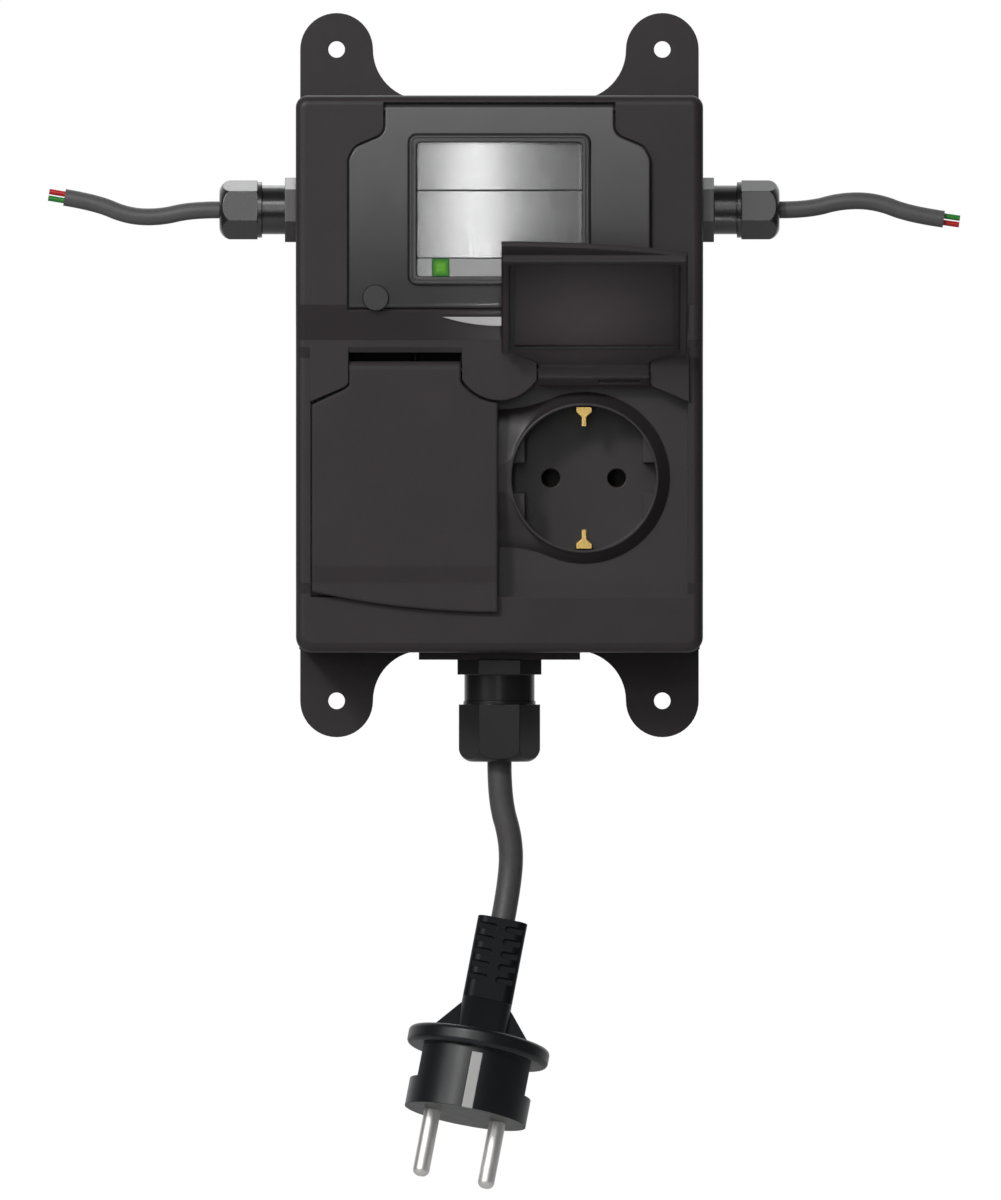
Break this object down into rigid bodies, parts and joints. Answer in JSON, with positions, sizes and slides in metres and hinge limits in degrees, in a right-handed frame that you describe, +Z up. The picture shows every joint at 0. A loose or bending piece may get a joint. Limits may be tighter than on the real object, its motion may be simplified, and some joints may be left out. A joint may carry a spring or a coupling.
{
  "type": "rcd adapter plug",
  "caption": "Wall box with lidded earthed sockets, a window lid over a residual current device, cable glands and a mains plug on a short cord.",
  "frame": {"origin": "centre of the four wall holes, on the back face of the ears, which lies against the wall", "axes": "+Z up the wall, +X to the right seen from the front, -Y out of the wall towards the viewer"},
  "size_m": [0.2629, 0.107, 0.3388],
  "materials": {
    "housing": "fine satin moulded, warm dark grey",
    "lid_plastic": "fine satin moulded, dark grey",
    "upper_lid_plastic": "satin moulded, mid grey",
    "light_trim": "satin light grey",
    "socket_plastic": "satin moulded, dark grey",
    "seal_rubber": "soft black",
    "gland_plastic": "satin grey nylon",
    "cord_sheath": "matt dark grey sheath",
    "plug_plastic": "satin black moulded",
    "red_insulation": "smooth red",
    "green_insulation": "smooth green",
    "wire_insulation": "smooth black",
    "clear_pane": "clear polycarbonate",
    "device_shell": "light grey moulded",
    "silver_face": "brushed silver",
    "lamp": "green lens",
    "brass_parts": "bright brass",
    "nickel_parts": "nickel plated",
    "steel_parts": "zinc plated steel"
  },
  "bodies": {
    "box": {"rear_housing": "housing", "front_housing": "housing", "housing_seal": "seal_rubber", "housing_screws": "steel_parts", "lid_catch": "light_trim", "socket_panel": "socket_plastic", "left_socket_well": "socket_plastic", "right_socket_well": "socket_plastic", "left_earth_clip": "brass_parts", "right_earth_clip": "brass_parts", "left_pin_contacts": "brass_parts", "right_pin_contacts": "brass_parts", "live_bar": "brass_parts", "neutral_bar": "brass_parts", "earth_bar": "brass_parts", "mounting_rail": "steel_parts", "device_body": "device_shell", "device_fascia": "silver_face", "indicator_strip": "silver_face", "status_lamp": "lamp", "inner_wires": "wire_insulation", "sensing_wires": "wire_insulation", "left_hinge_pin": "steel_parts", "right_hinge_pin": "steel_parts", "upper_hinge_pin": "housing", "mains_cord": "cord_sheath", "left_lead": "cord_sheath", "right_lead": "cord_sheath", "left_red_core": "red_insulation", "right_red_core": "red_insulation", "left_green_core": "green_insulation", "right_green_core": "green_insulation", "plug_boot": "plug_plastic", "plug_body": "plug_plastic", "plug_pins": "nickel_parts", "plug_earth_strips": "nickel_parts", "left_gland_body": "gland_plastic", "left_gland_cap": "gland_plastic", "left_gland_seal": "seal_rubber", "left_gland_nut": "gland_plastic", "right_gland_body": "gland_plastic", "right_gland_cap": "gland_plastic", "right_gland_seal": "seal_rubber", "right_gland_nut": "gland_plastic", "bottom_gland_body": "gland_plastic", "bottom_gland_cap": "gland_plastic", "bottom_gland_seal": "seal_rubber", "bottom_gland_nut": "gland_plastic"},
    "left_lid_body": {"left_lid": "lid_plastic", "left_lid_gasket": "seal_rubber"},
    "right_lid_body": {"right_lid": "lid_plastic", "right_lid_gasket": "seal_rubber"},
    "upper_lid_body": {"upper_lid": "upper_lid_plastic", "window_frame": "lid_plastic", "window_pane": "clear_pane", "lid_screw_caps": "upper_lid_plastic"}
  },
  "joints": [
    {"name": "left_lid_hinge", "type": "hinge", "parent": "box", "child": "left_lid_body", "pos_m": [-0.02725, -0.0466, 0.0013], "axis": [-1, 0, 0], "range_deg": [0, 120]},
    {"name": "right_lid_hinge", "type": "hinge", "parent": "box", "child": "right_lid_body", "pos_m": [0.02725, -0.0466, 0.0013], "axis": [-1, 0, 0], "range_deg": [-120, 0]},
    {"name": "upper_lid_hinge", "type": "hinge", "parent": "box", "child": "upper_lid_body", "pos_m": [0, -0.053, 0.076], "axis": [-1, 0, 0], "range_deg": [0, 95]}
  ]
}
